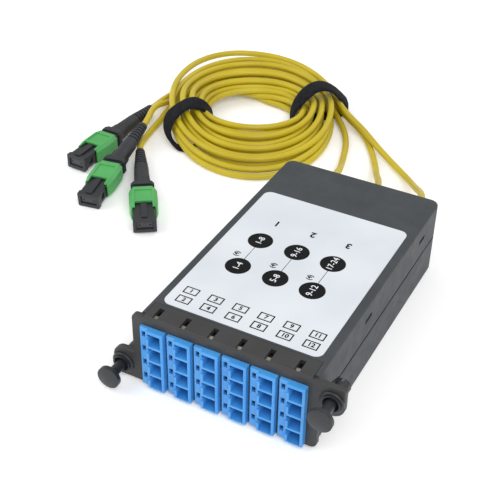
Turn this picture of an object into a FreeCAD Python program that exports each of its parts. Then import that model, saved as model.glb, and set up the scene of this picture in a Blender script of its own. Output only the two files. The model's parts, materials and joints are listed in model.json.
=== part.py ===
"""Fibre cassette with built-in cables.

A clamshell housing with six quad adapters in its front bezel. Three cables leave the rear through
moulded glands, lie in one tied coil on the floor and end in multi-fibre connectors.

Frame: origin at the centre of the housing's underside, +X right, +Y to the rear, +Z up, in mm.
Each sub-part is written to parts/NODE.step.
"""
import FreeCAD, Part
import math
import os

V = FreeCAD.Vector

# ---- adapters: these set the bezel and the housing around them ----
ADAPTERS = 6
ADAPTER_PITCH = 10.54
ADAPTER_W = 9.6
PORTS = 4
PORT_PITCH = 6.25
RIM_OVER = 0.4            # rim beyond the shank, above and below
NOSE_D = 2.7              # connector side of the rim, in front of the plate
LATCH_SIDE_D = 1.1        # latch side of the rim, set back
LATCH_SIDE_W = 3.3
RIM_R = 0.45              # softened outer corners of the rim
SHANK_D = 24.0            # behind the plate's front face
SHANK_LEFT = 3.6          # shank's left side from the adapter's centre
PORT_W = 4.6
PORT_H = 5.4
PORT_X = 1.7              # port centre from the adapter's centre
PORT_WALL = 0.6           # right of the port
PORT_D = 12.7             # from the nose's front face
CHANNEL_W = 1.25          # latch channel in the upper left of the port
CHANNEL_LOW = 0.15        # its lower edge above the port's centre
NOTCH_W = 1.4
NOTCH_H = 2.3
NOTCH_D = 2.0
NOTCH_X = -3.45
NOTCH_LOW = 0.55          # notch's lower edge below the port's centre
MID_WALL = 2.0            # between front and rear ports
REAR_PORT = 4.7
HOLDER = 2.8              # square holder of the split alignment sleeve
HOLDER_OUT = 3.0          # holder out of the mid wall, each way
SLEEVE_R = 0.64           # bore for the plug's ferrule

# ---- adapter clips ----
CLIP_T = 0.35
CLIP_W = 5.6
CLIP_D = 7.5
CLIP_ROOM = 2.5           # from the shank to the bezel's roof
LEAF_W = 1.8
LEAF_BELOW = 0.7          # leaf's high end below the roof's top face

# ---- front bezel ----
PLATE_T = 2.0
PLATE_IN = 0.6            # plate's lower edge above the underside
PLATE_MARGIN = 4.05       # beside the outer rims
PLATE_CORNER_R = 2.2
BOX_D = 6.3               # depth of the bezel's box behind the plate
BOX_ROOF = 1.8
BOX_FLOOR = 1.5
FLOOR_GAP = 0.2           # between the box's floor and the shanks
BROW_R = 1.5              # roof's rounded front edge
WEB_T = 1.5               # upright web between neighbouring adapters
LEDGE_D = 3.0             # rear ledge that reaches under the cover's roof
LEDGE_T = 1.1
APERTURE_GAP = 0.1        # around a shank in the bezel
WINDOW_W = 2.0            # window over each adapter's clip
WINDOW_D = 4.2            # behind the plate
WINDOW_FRONT = 0.9        # plate left in front of the window
EAR_DROP = 0.6            # ear's top below the roof
EAR_H = 12.4
EAR_PAST = 4.2            # ear beyond the latch's axis
EAR_CORNER_R = 4.6
EAR_TOP_R = 0.8
PLATE_EDGE_R = 0.5

# ---- housing ----
HOUSING_D = 113.0         # front bezel plate to rear wall
SIDE_ROOM = 0.95          # mean gap between the outer shanks and the side walls
HOUSING_SHIFT = 0.4       # housing's middle to the right of the shanks' middle
WALL = 1.6
REAR_CORNER_R = 3.6
EDGE_R = 0.9              # rounding of the long outer edges
SPLIT_RISE = 0.1          # top of the tray's outer wall above the housing's middle
SPLIT_STEP = 3.1          # the split line climbs by this much near the bezel
STEP_FROM, STEP_TO = 17.8, 10.5            # where it climbs, from the bezel plate
SEAM = 1.1                # shadow gap between tray and cover
TONGUE_T = 0.7            # tray tongue that closes the seam from inside
TONGUE_H = 3.4
FIT = 0.15                # clearance between moulded pieces

# ---- snap hooks that hold the cover down ----
HOOK_L = 5.6              # along the wall
HOOK_H = 1.4              # height of the barb and its window
HOOK_DOWN = 7.4           # underside of the barb below the cover's top
HOOK_T = 1.1
HOOK_TIP = 0.5            # upright part of the barb
BARB = 1.0
HOOK_FRONT, HOOK_REAR = 41.3, 19.1         # from the bezel plate and from the rear wall's face
HOOK_PLAY = 0.2

# ---- fibre guide posts ----
POST_R = 4.0
POST_WALL = 1.2
POST_GAP = 0.2            # below the cover's roof
POSTS_BACK = (30.5, 50.5)                  # from the rear wall's face

# ---- push-pull latches ----
LATCH_ROOM = 5.7          # from the housing's right side to the latch's axis
LATCH_DOWN = 5.9          # from the ear's top edge to the latch's axis
SHAFT_R = 1.9
SHAFT_GAP = 0.05
GROMMET_R = 2.75          # barrel behind the ear
GROMMET_NECK_R = 2.95     # thicker length inside the ear
EAR_GAP = 0.1
FLANGE_R = 4.2
FLANGE_T = 1.0
BOSS_R = 3.3              # raised ring on the flange
BOSS_T = 0.7
FUNNEL_R = 2.85           # flared mouth of the bore
FUNNEL_D = 2.0
BARREL_L = 6.6            # barrel behind the ear
SLOT_W, SLOT_D = 0.7, 1.4                  # cross slots in the barrel's end
KNOB_R = 4.3
KNOB_T = 1.6
KNOB_DOME = 0.5
KNOB_GAP = 0.4            # knob to boss when pushed home
NECK_FLARE, NECK_L = 0.75, 2.2             # cone under the knob
LATCH_TRAVEL = 6.2
SHAFT_TAIL = 5.0          # shaft behind the ear when pulled out

# ---- pigtails inside ----
PLUG_GAP = 0.1            # around a plug in its rear port
PLUG_STOP = 1.0           # plug's end in front of the sleeve holder
PLUG_OUT = 4.0            # plug behind the adapter
PLUG_BOOT_W = 3.0
PLUG_BOOT_TIP = 1.8
PLUG_BOOT_L = 7.0
FIBRE_W = 0.9
FAN_L = 13.0              # from the plug boots to the bundle's end
FAN_IN = 0.5              # strands start inside the bundle
BUNDLE_R = 1.2
BUNDLE_SIDES = 6

# ---- cables, glands and furcation blocks ----
CABLES = 3
CABLE_R = 1.5
CABLE_PITCH = 20.0
CABLE_RISE = 0.5          # cables above the housing's middle
GLAND_R = 3.3
GLAND_FLANGE_R = 4.6
GLAND_FLANGE_T = 1.2
GLAND_TAPER_L = 10.0
GLAND_TIP_R = 2.3
GLAND_RINGS = (2.6, 5.2)                   # rings on the nose, from the outer flange
GLAND_RING_L = 1.1
GLAND_GAP = 0.1
BLOCK_W = 10.0
BLOCK_H = 7.0
BLOCK_L = 12.0
BLOCK_END = 2.0           # block beyond its stand, at each end
STAND_IN = 1.0            # stand inside the block's sides

# ---- label ----
LABEL_T = 0.15
LABEL_R = 3.0
LABEL_SIDE = 3.2          # margins on the cover
LABEL_FRONT = 7.3
LABEL_REAR = 26.55

# ---- coil and its wraps, in the coil's own axes: r across, d along, both from its centre ----
COIL_AT = (-87.6, 131.5)
COIL_TURN = 27.85         # degrees from +X to r
COIL_OUT = (43.0, 57.0, -1.5)              # half axes along r and d, and the centre's shift along d
COIL_HOLE = (20.5, 17.0, -5.5)
COIL_Z0, COIL_H = 1.7, 9.0
COIL_BEVEL = 2.8
COIL_STEPS = 44
WRAP_T = 1.3
WRAP_W = 8.5
WRAP_STEPS = 4            # steps between two points of a wrap's loop
WRAP_LEFT_TURN, WRAP_RIGHT_TURN = -76.0, 90.0      # way of each wrap's width, in degrees from r
WRAP_LEFT = ((-18.7, -8, 4), (-18.9, -7.5, 9), (-22.5, -7, 12.8), (-29.5, -7, 14.8), (-36.5, -8.5, 14),
             (-41.9, -11, 11), (-44.3, -14, 7), (-43.4, -17, 3.2), (-40, -18.5, 1.0), (-34.5, -17.5, 0.9),
             (-27.5, -14, 0.9), (-21.4, -10.5, 1.0))
WRAP_RIGHT = ((18.7, -5, 4), (19.1, -4, 9), (22.5, 1, 14), (28.5, 6, 16.4), (35, 8, 15.8),
              (40.6, 7.5, 12.2), (44.2, 5.5, 7), (43.4, 3, 2.6), (38, 1, 1.0), (29, -2, 0.9), (22, -4, 1.0))

# ---- multi-fibre connectors: local +X towards the tip ----
CON_W, CON_H, CON_L = 12.4, 8.6, 15.5      # sliding sleeve
CON_CHAMFER = 1.5
CON_GAP = 0.3             # around the body in the sleeve
CON_TAPER = 0.7           # sleeve's ends drawn in on each side
CON_TAPER_BACK, CON_TAPER_FRONT = 3.0, 4.0
STEP_L, STEP_W = 3.6, 7.6                  # cut-back of the sleeve's upper front edge
GRIP_IN, GRIP_D = 3.0, 0.35                # grip recess on the sleeve's two wide sides
BODY_W, BODY_H = 9.2, 6.0
BODY_R = 0.5
TIP_L = 9.0
RIM_L, RIM_T = 2.2, 0.4                    # raised rim at the tip
KEY_W, KEY_H = 2.6, 0.8
FERRULE_W, FERRULE_H, FERRULE_L = 6.4, 2.5, 8.0
FERRULE_GAP = 0.1
FERRULE_BACK = 0.6        # ferrule face behind the tip's face
PIN_R, PIN_X, PIN_D = 0.35, 2.3, 1.9       # guide pin holes
SLEEVE_TRAVEL = 2.2
NECK = 2.4                # body between the sleeve and the boot
COLLAR_W, COLLAR_H, COLLAR_L = 10.4, 7.6, 3.4
COLLAR_IN = 0.9           # collar's rear end drawn in on each side
GUSSET_L, GUSSET_H = 5.5, 4.2              # flare from the collar into the tail
BOOT_L = 30.2
BOOT_R0, BOOT_RM, BOOT_R1 = 3.7, 3.3, 2.15 # tail at the collar, at its middle and at the cable
BOOT_RIBS = 6
RIB_PITCH, RIB_SLOT, RIB_D = 2.2, 0.9, 0.6
RIB_END = 2.0             # plain end at the cable
TAIL_STRAIGHT = 5.0       # first run of a tail, in line with its boot
CONNECTORS = (            # sleeve's rear face centre, heading and pitch in degrees
    ((-133.3, 69.2, 4.4), -92.0, 0.0),
    ((-115.6, 46.3, 5.9), -80.8, 5.0),
    ((-93.5, 37.8, 4.4), -55.3, 0.0),
)

# ---- derived sizes and places ----
SHANK_H = PORTS * PORT_PITCH
SHANK_RIGHT = PORT_X + PORT_W / 2 + PORT_WALL
REAR_PORT_D = NOSE_D + SHANK_D - PORT_D - MID_WALL
SHANK_Z0 = BOX_FLOOR + FLOOR_GAP
SHANK_Z1 = SHANK_Z0 + SHANK_H
ADAPTER_Z = (SHANK_Z0 + SHANK_Z1) / 2
SHANK_MID = (SHANK_RIGHT - SHANK_LEFT) / 2
ROW_W = (ADAPTERS - 1) * ADAPTER_PITCH
HOUSING_W = ROW_W + SHANK_LEFT + SHANK_RIGHT + 2 * (SIDE_ROOM + WALL)
HOUSING_X = SHANK_MID + HOUSING_SHIFT      # the housing sits a little right of the bezel's middle
HOUSING_H = SHANK_Z1 + CLIP_ROOM + BOX_ROOF
FRONT = -HOUSING_D / 2                     # back face of the bezel plate
REAR = HOUSING_D / 2
PLATE_FRONT = FRONT - PLATE_T
MID_Z = HOUSING_H / 2
SPLIT_Z = MID_Z + SPLIT_RISE               # top of the lower tray's outer wall
CABLE_Z = MID_Z + CABLE_RISE
HOOK_Z = HOUSING_H - HOOK_DOWN
HOOK_YS = (FRONT + HOOK_FRONT, REAR - HOOK_REAR)
INNER_HALF_W = HOUSING_W / 2 - WALL
BOX_HALF_W = INNER_HALF_W - FIT
PLATE_HALF_W = (ROW_W + ADAPTER_W) / 2 + PLATE_MARGIN
EAR_Z1 = HOUSING_H - EAR_DROP
LATCH_X = HOUSING_X + HOUSING_W / 2 + LATCH_ROOM
LATCH_Z = EAR_Z1 - LATCH_DOWN              # right ear; the left ear is the right one turned half round
EAR_OUT = LATCH_X + EAR_PAST
PLUG_W = REAR_PORT - 2 * PLUG_GAP
PLUG_IN = REAR_PORT_D - HOLDER_OUT - PLUG_STOP
PLUG_BACK = PLATE_FRONT + SHANK_D + PLUG_OUT
ADAPTER_XS = [(i - (ADAPTERS - 1) / 2) * ADAPTER_PITCH for i in range(ADAPTERS)]
PORT_ZS = [ADAPTER_Z + ((PORTS - 1) / 2 - j) * PORT_PITCH for j in range(PORTS)]
CABLE_XS = [HOUSING_X + (i - (CABLES - 1) / 2) * CABLE_PITCH for i in range(CABLES)]
GLAND_TIP_Y = REAR + GLAND_FLANGE_T + GLAND_TAPER_L


# ---- small shape helpers ----
def box(x0, x1, y0, y1, z0, z1):
    return Part.makeBox(x1 - x0, y1 - y0, z1 - z0, V(x0, y0, z0))


def cyl_y(r, x, z, y0, y1):
    return Part.makeCylinder(r, y1 - y0, V(x, y0, z), V(0, 1, 0))


def cone_y(r0, r1, x, z, y0, y1):
    return Part.makeCone(r0, r1, y1 - y0, V(x, y0, z), V(0, 1, 0))


def prism(points, direction):
    """Solid from a closed outline of points, pushed along a direction."""
    wire = Part.makePolygon(list(points) + [points[0]])
    return Part.Face(wire).extrude(direction)


def cut_all(shape, tools):
    for tool in tools:
        shape = shape.cut(tool)
    return shape


def fuse_all(shapes):
    shape = shapes[0].fuse(shapes[1:]) if len(shapes) > 1 else shapes[0]
    return shape.removeSplitter()


def round_edges(shape, radius, wanted):
    """Fillet the edges that wanted(edge) picks."""
    edges = [e for e in shape.Edges if wanted(e)]
    return shape.makeFillet(radius, edges) if edges else shape


def along(edge, axis):
    """True for a straight edge along the given axis, 0 to 2."""
    a, b = edge.Vertexes[0].Point, edge.Vertexes[-1].Point
    d = [abs(b[k] - a[k]) for k in range(3)]
    return len(edge.Vertexes) == 2 and d[axis] > 0.01 and sum(d) - d[axis] < 1e-6


def skin(sections):
    """Closed solid with flat faces between outlines whose sides are parallel."""
    wires = [Part.makePolygon(s + [s[0]]) for s in (sections[0], sections[-1])]
    faces = [Part.Face(w) for w in wires]
    for here, there in zip(sections, sections[1:]):
        for j in range(len(here)):
            k = (j + 1) % len(here)
            faces.append(Part.Face(Part.makePolygon([here[j], here[k], there[k], there[j], here[j]])))
    solid = Part.Solid(Part.makeShell(faces))
    if solid.Volume < 0:
        solid.reverse()
    return solid


def save(name, shape):
    shape.exportStep(os.path.join("parts", name + ".step"))


# ---- housing ----
def housing_block(inset, z0, z1):
    """Housing outline with round rear corners, moved inwards by inset on three sides."""
    half = HOUSING_W / 2 - inset
    rear = REAR - inset
    r = max(REAR_CORNER_R - inset, 0.5)
    x0, x1 = HOUSING_X - half, HOUSING_X + half
    k = r * (1 - math.sqrt(0.5))
    edges = [
        Part.LineSegment(V(x0, FRONT, z0), V(x1, FRONT, z0)),
        Part.LineSegment(V(x1, FRONT, z0), V(x1, rear - r, z0)),
        Part.Arc(V(x1, rear - r, z0), V(x1 - k, rear - k, z0), V(x1 - r, rear, z0)),
        Part.LineSegment(V(x1 - r, rear, z0), V(x0 + r, rear, z0)),
        Part.Arc(V(x0 + r, rear, z0), V(x0 + k, rear - k, z0), V(x0, rear - r, z0)),
        Part.LineSegment(V(x0, rear - r, z0), V(x0, FRONT, z0)),
    ]
    wire = Part.Wire([e.toShape() for e in edges])
    return Part.Face(wire).extrude(V(0, 0, z1 - z0))


def round_rim(shape, z):
    """Round the outer edges that lie at height z, apart from the open front."""
    def wanted(edge):
        flat = all(abs(v.Point.z - z) < 1e-6 for v in edge.Vertexes)
        at_front = all(abs(v.Point.y - FRONT) < 1e-6 for v in edge.Vertexes)
        return flat and not at_front
    return round_edges(shape, EDGE_R, wanted)


def front_bay(z0, z1):
    """Space that the bezel's box takes out of a floor or roof."""
    half = BOX_HALF_W + FIT
    return box(HOUSING_X - half, HOUSING_X + half, FRONT - 1, FRONT + BOX_D + FIT, z0, z1)


def below_split(rise):
    """Space below the split line, moved up by rise; the line climbs near the bezel."""
    low, high = SPLIT_Z + rise, SPLIT_Z + SPLIT_STEP + rise
    outline = [V(-HOUSING_W, REAR + 1, -1), V(-HOUSING_W, REAR + 1, low), V(-HOUSING_W, FRONT + STEP_FROM, low),
               V(-HOUSING_W, FRONT + STEP_TO, high), V(-HOUSING_W, FRONT - 2, high), V(-HOUSING_W, FRONT - 2, -1)]
    return prism(outline, V(3 * HOUSING_W, 0, 0))


def gland_cuts():
    cuts = []
    for x in CABLE_XS:
        cuts.append(cyl_y(GLAND_R + GLAND_GAP, x, CABLE_Z, REAR - WALL - 1, REAR + 1))
        cuts.append(cyl_y(GLAND_FLANGE_R + 3 * GLAND_GAP, x, CABLE_Z, REAR - WALL - 4, REAR - WALL))
    return cuts


def lower_tray():
    tray = round_rim(housing_block(0, 0, HOUSING_H), 0).common(below_split(0))
    tongue = housing_block(WALL - TONGUE_T, WALL, HOUSING_H).common(below_split(TONGUE_H))
    tray = tray.fuse(tongue)
    tray = tray.cut(housing_block(WALL, WALL, HOUSING_H + 1))
    tray = tray.cut(box(HOUSING_X - INNER_HALF_W, HOUSING_X + INNER_HALF_W,
                        FRONT - 1, FRONT + WALL + 1, WALL, HOUSING_H))
    tray = tray.cut(front_bay(-1, WALL + 1))
    tray = cut_all(tray, gland_cuts())
    additions = []
    for side in (-1, 1):
        wall_in = HOUSING_X + side * INNER_HALF_W
        for y in HOOK_YS:
            stem_out = wall_in - side * FIT
            stem_in = stem_out - side * HOOK_T
            xs = sorted((stem_in, stem_out))
            additions.append(box(xs[0], xs[1], y - HOOK_L / 2, y + HOOK_L / 2, WALL / 2, HOOK_Z + HOOK_H))
            foot = sorted((stem_in, wall_in + side * TONGUE_T / 2))
            additions.append(box(foot[0], foot[1], y - HOOK_L / 2, y + HOOK_L / 2, WALL / 2, SPLIT_Z + 1))
            barb = [V(stem_out, y - HOOK_L / 2, HOOK_Z),
                    V(stem_out + side * BARB, y - HOOK_L / 2, HOOK_Z),
                    V(stem_out + side * BARB, y - HOOK_L / 2, HOOK_Z + HOOK_TIP),
                    V(stem_out, y - HOOK_L / 2, HOOK_Z + HOOK_H)]
            additions.append(prism(barb, V(0, HOOK_L, 0)))
    block_back = REAR - WALL - GLAND_FLANGE_T
    half = BLOCK_W / 2 - STAND_IN
    for x in CABLE_XS:
        additions.append(box(x - half, x + half, block_back - BLOCK_L + BLOCK_END, block_back - BLOCK_END,
                             WALL / 2, CABLE_Z - BLOCK_H / 2))
    for x in [(a + b) / 2 for a, b in zip(CABLE_XS, CABLE_XS[1:])]:
        for back in POSTS_BACK:
            foot = V(x, REAR - back, WALL / 2)
            post = Part.makeCylinder(POST_R, HOUSING_H - WALL - POST_GAP - foot.z, foot)
            hole = Part.makeCylinder(POST_R - POST_WALL, HOUSING_H, V(foot.x, foot.y, WALL + 0.5))
            additions.append(post.cut(hole))
    return fuse_all([tray] + additions)


def upper_cover():
    cover = round_rim(housing_block(0, 0, HOUSING_H), HOUSING_H).cut(below_split(SEAM))
    cover = cover.cut(housing_block(WALL, -1, HOUSING_H - WALL))
    cover = cover.cut(box(HOUSING_X - INNER_HALF_W, HOUSING_X + INNER_HALF_W,
                          FRONT - 1, FRONT + WALL + 1, -1, HOUSING_H - WALL))
    cover = cover.cut(front_bay(HOUSING_H - WALL - 1, HOUSING_H + 1))
    room = WALL - TONGUE_T - FIT
    cover = cover.cut(housing_block(room, -1, HOUSING_H).common(below_split(TONGUE_H + FIT)))
    cover = cut_all(cover, gland_cuts())
    windows = []
    for side in (-1, 1):
        x = HOUSING_X + side * HOUSING_W / 2
        for y in HOOK_YS:
            windows.append(box(x - WALL - 1, x + WALL + 1, y - HOOK_L / 2 - HOOK_PLAY, y + HOOK_L / 2 + HOOK_PLAY,
                               HOOK_Z - HOOK_PLAY, HOOK_Z + HOOK_H + HOOK_PLAY))
    return cut_all(cover, windows).removeSplitter()


def label_sheet():
    half = HOUSING_W / 2 - LABEL_SIDE
    sheet = box(HOUSING_X - half, HOUSING_X + half, FRONT + LABEL_FRONT, REAR - LABEL_REAR,
                HOUSING_H, HOUSING_H + LABEL_T)
    return round_edges(sheet, LABEL_R, lambda e: along(e, 2))


# ---- front bezel ----
def ear(sign):
    """Ear with a round lower outer corner; sign -1 turns it half round about the housing's middle."""
    z0 = EAR_Z1 - EAR_H
    piece = box(PLATE_HALF_W - PLATE_T, EAR_OUT, PLATE_FRONT, FRONT, z0, EAR_Z1)
    def outer_corner(height):
        def wanted(e):
            p = e.Vertexes[0].Point
            return along(e, 1) and p.x > EAR_OUT - 0.01 and abs(p.z - height) < 0.01
        return wanted
    piece = round_edges(piece, EAR_CORNER_R, outer_corner(z0))
    piece = round_edges(piece, EAR_TOP_R, outer_corner(EAR_Z1))
    if sign < 0:
        piece.rotate(V(0, 0, MID_Z), V(0, 1, 0), 180)
    return piece


def front_bezel():
    plate = box(-PLATE_HALF_W, PLATE_HALF_W, PLATE_FRONT, FRONT, PLATE_IN, HOUSING_H - EAR_DROP)
    def free_corner(e):
        p = e.Vertexes[0].Point
        right_low = p.x > 0 and p.z < MID_Z
        left_high = p.x < 0 and p.z > MID_Z
        return along(e, 1) and (right_low or left_high)
    plate = round_edges(plate, PLATE_CORNER_R, free_corner)
    outline = fuse_all([plate, ear(1), ear(-1)])
    def front_edge(e):
        return all(abs(v.Point.y - PLATE_FRONT) < 1e-6 for v in e.Vertexes)
    outline = round_edges(outline, PLATE_EDGE_R, front_edge)
    x0, x1 = HOUSING_X - BOX_HALF_W, HOUSING_X + BOX_HALF_W
    back = FRONT + BOX_D
    roof_z = HOUSING_H - BOX_ROOF
    roof = box(x0, x1, PLATE_FRONT, back, roof_z, HOUSING_H)
    roof = round_edges(roof, BROW_R, lambda e: along(e, 0) and e.Vertexes[0].Point.y < FRONT - PLATE_T / 2
                       and e.Vertexes[0].Point.z > HOUSING_H - 0.01)
    additions = [roof, box(x0, x1, FRONT, back, 0, BOX_FLOOR)]
    ledge_z = HOUSING_H - WALL - FIT
    additions.append(box(x0 + 1, x1 - 1, back - LEDGE_D / 2, back + LEDGE_D, ledge_z - LEDGE_T, ledge_z))
    for a, b in zip(ADAPTER_XS, ADAPTER_XS[1:]):
        mid = (a + SHANK_RIGHT + b - SHANK_LEFT) / 2
        additions.append(box(mid - WEB_T / 2, mid + WEB_T / 2, FRONT, back, BOX_FLOOR, roof_z))
    bezel = fuse_all([outline] + additions)
    cuts = []
    gap = APERTURE_GAP
    for x in ADAPTER_XS:
        cuts.append(box(x - SHANK_LEFT - gap, x + SHANK_RIGHT + gap, PLATE_FRONT - 1, FRONT + 0.01,
                        SHANK_Z0 - gap, SHANK_Z1 + gap))
        cuts.append(box(x - WINDOW_W / 2, x + WINDOW_W / 2, PLATE_FRONT + WINDOW_FRONT, FRONT + WINDOW_D,
                        SHANK_Z1 + CLIP_T, HOUSING_H + 1))
    for x, z in latch_places():
        cuts.append(cyl_y(GROMMET_NECK_R + EAR_GAP, x, z, PLATE_FRONT - 1, FRONT + 1))
    return cut_all(bezel, cuts)


# ---- adapters ----
def port_outline(xc, zc, y):
    """Mouth of one port: square for the plug, with the latch channel in its upper left."""
    x0, x1 = xc + PORT_X - PORT_W / 2, xc + PORT_X + PORT_W / 2
    h = PORT_H / 2
    return [V(x0, y, zc - h), V(x1, y, zc - h), V(x1, y, zc + h), V(x0 - CHANNEL_W, y, zc + h),
            V(x0 - CHANNEL_W, y, zc + CHANNEL_LOW), V(x0, y, zc + CHANNEL_LOW)]


def lc_adapter(xc):
    z0, z1 = SHANK_Z0 - RIM_OVER, SHANK_Z1 + RIM_OVER
    left, right = xc - ADAPTER_W / 2, xc + ADAPTER_W / 2
    step = left + LATCH_SIDE_W
    nose_y = PLATE_FRONT - NOSE_D
    profile = [V(left, PLATE_FRONT, z0), V(left, PLATE_FRONT - LATCH_SIDE_D, z0),
               V(step, PLATE_FRONT - LATCH_SIDE_D, z0), V(step, nose_y, z0),
               V(right, nose_y, z0), V(right, PLATE_FRONT, z0)]
    rim = prism(profile, V(0, 0, z1 - z0))
    def outer_corner(e):
        p, q = e.Vertexes[0].Point, e.Vertexes[-1].Point
        on_nose = abs(p.y - nose_y) < 1e-6 and abs(q.y - nose_y) < 1e-6
        return on_nose and not (along(e, 2) and p.x < right - 0.1)
    rim = rim.makeChamfer(RIM_R, [e for e in rim.Edges if outer_corner(e)])
    shank_back = PLATE_FRONT + SHANK_D
    shank = box(xc - SHANK_LEFT, xc + SHANK_RIGHT, PLATE_FRONT, shank_back, SHANK_Z0, SHANK_Z1)
    body = fuse_all([rim, shank])
    mid_wall = nose_y + PORT_D
    cuts = []
    holders = []
    for zc in PORT_ZS:
        cuts.append(prism(port_outline(xc, zc, nose_y - 1), V(0, PORT_D + 1, 0)))
        notch_y = PLATE_FRONT - LATCH_SIDE_D
        cuts.append(box(xc + NOTCH_X - NOTCH_W / 2, xc + NOTCH_X + NOTCH_W / 2, notch_y - 1, notch_y + NOTCH_D,
                        zc - NOTCH_LOW, zc - NOTCH_LOW + NOTCH_H))
        half = REAR_PORT / 2
        cuts.append(box(xc + PORT_X - half, xc + PORT_X + half, shank_back - REAR_PORT_D, shank_back + 1,
                        zc - half, zc + half))
        holders.append(box(xc + PORT_X - HOLDER / 2, xc + PORT_X + HOLDER / 2, mid_wall - HOLDER_OUT,
                           mid_wall + MID_WALL + HOLDER_OUT, zc - HOLDER / 2, zc + HOLDER / 2))
    body = cut_all(body, cuts).fuse(holders)
    bores = [cyl_y(SLEEVE_R, xc + PORT_X, zc, mid_wall - HOLDER_OUT - 1, shank_back) for zc in PORT_ZS]
    return cut_all(body, bores).removeSplitter()


def adapter_clip(xc):
    """Spring steel saddle on the shank, with a leaf that rises through the bezel's window."""
    z = SHANK_Z1
    y0 = FRONT + PLATE_T * 0.15
    saddle = box(xc - CLIP_W / 2, xc + CLIP_W / 2, y0, y0 + CLIP_D, z, z + CLIP_T)
    top = HOUSING_H - LEAF_BELOW
    foot_y, bend_y, tip_y = FRONT + WINDOW_D - 0.5, FRONT + 0.9, PLATE_FRONT + WINDOW_FRONT + 0.3
    leaf = [V(xc - LEAF_W / 2, foot_y, z + CLIP_T / 2), V(xc - LEAF_W / 2, bend_y, top),
            V(xc - LEAF_W / 2, tip_y, top - 0.25), V(xc - LEAF_W / 2, tip_y, top - 0.25 - CLIP_T),
            V(xc - LEAF_W / 2, bend_y - 0.2, top - CLIP_T), V(xc - LEAF_W / 2, foot_y - CLIP_T * 1.3, z + CLIP_T / 2)]
    return fuse_all([saddle, prism(leaf, V(LEAF_W, 0, 0))])


# ---- pigtails inside the housing ----
def square_ring(x, y, z, w):
    """Corners of an upright square of width w in the plane y."""
    h = w / 2
    return [V(x - h, y, z - h), V(x + h, y, z - h), V(x + h, y, z + h), V(x - h, y, z + h)]


def pigtail_plugs():
    """Body and tapered boot of the plug in each rear port."""
    plugs = []
    front = PLATE_FRONT + SHANK_D - PLUG_IN
    for xc in ADAPTER_XS:
        for zc in PORT_ZS:
            places = ((front, PLUG_W), (PLUG_BACK, PLUG_W))
            boot = ((PLUG_BACK, PLUG_BOOT_W), (PLUG_BACK + PLUG_BOOT_L, PLUG_BOOT_TIP))
            parts = [skin([square_ring(xc + PORT_X, y, zc, w) for y, w in part]) for part in (places, boot)]
            plugs.append(parts[0].fuse(parts[1]).removeSplitter())
    return Part.makeCompound(plugs)


def furcation_block(x):
    y1 = REAR - WALL - GLAND_FLANGE_T
    block = box(x - BLOCK_W / 2, x + BLOCK_W / 2, y1 - BLOCK_L, y1, CABLE_Z - BLOCK_H / 2, CABLE_Z + BLOCK_H / 2)
    return round_edges(block, 0.8, lambda e: along(e, 1))


def rounded_path(points):
    """Straight runs joined by tangent arcs, each as large as its two runs allow."""
    edges = []
    radii = []
    start = points[0]
    for before, at, after in zip(points, points[1:], points[2:]):
        run_in, run_out = at - before, after - at
        turn = run_in.getAngle(run_out)
        radius = 0.45 * min(run_in.Length, run_out.Length) / math.tan(turn / 2)
        cut = radius * math.tan(turn / 2)
        u_in, u_out = V(run_in).normalize(), V(run_out).normalize()
        a, b = at - u_in * cut, at + u_out * cut
        toward = V(u_out - u_in).normalize()
        middle = at + toward * (radius / math.cos(turn / 2) - radius)
        edges.append(Part.LineSegment(start, a).toShape())
        edges.append(Part.Arc(a, middle, b).toShape())
        radii.append(radius)
        start = b
    edges.append(Part.LineSegment(start, points[-1]).toShape())
    return Part.Wire(edges), radii


def tube(name, points, radius, sides=0):
    """Tube along a rounded path, round or with flat sides, with its radii and volume printed."""
    path, radii = rounded_path(points)
    direction = (points[1] - points[0]).normalize()
    if sides:
        across = direction.cross(V(0, 0, 1)).normalize() * radius
        turn = [FreeCAD.Rotation(direction, 360 * k / sides) for k in range(sides)]
        corners = [points[0] + t.multVec(across) for t in turn]
        ring = Part.makePolygon(corners + [corners[0]])
        section = Part.Face(ring).Area
    else:
        ring = Part.Wire([Part.makeCircle(radius, points[0], direction)])
        section = math.pi * radius ** 2
    solid = path.makePipeShell([ring], True, False)
    expected = section * path.Length
    print(f"{name}: length {path.Length:.1f}, radii {min(radii):.1f} to {max(radii):.1f}, "
          f"volume / expected {solid.Volume / expected:.4f}, valid {solid.isValid()}")
    return solid


def fibre_bundle(i):
    """Bundle from the furcation block, fanned out to the eight plugs of two adapters."""
    x = CABLE_XS[i]
    xs = ADAPTER_XS[2 * i:2 * i + 2]
    x_mid = sum(xs) / 2 + PORT_X
    start = V(x, REAR - WALL - GLAND_FLANGE_T - BLOCK_L, CABLE_Z)
    end = V(x_mid, PLUG_BACK + PLUG_BOOT_L + FAN_L, ADAPTER_Z)
    def way(share, across, dip):
        return V(x + (x_mid - x) * across, start.y + (end.y - start.y) * share,
                 start.z + (end.z - start.z) * share - dip)
    points = [start, V(start.x, way(0.18, 0, 0).y, start.z), way(0.4, 0.2, 2.4), way(0.62, 0.7, 3.6), way(0.83, 1, 1.6), end]
    parts = [tube(f"fibre_bundle_{i + 1}", points, BUNDLE_R, BUNDLE_SIDES)]
    for xc in xs:
        for zc in PORT_ZS:
            plug_end = V(xc + PORT_X, PLUG_BACK + PLUG_BOOT_L, zc)
            root = V(end.x, end.y + FAN_IN, end.z)
            parts.append(prism(square_ring(root.x, root.y, root.z, FIBRE_W), plug_end - root))
    return fuse_all(parts)


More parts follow.
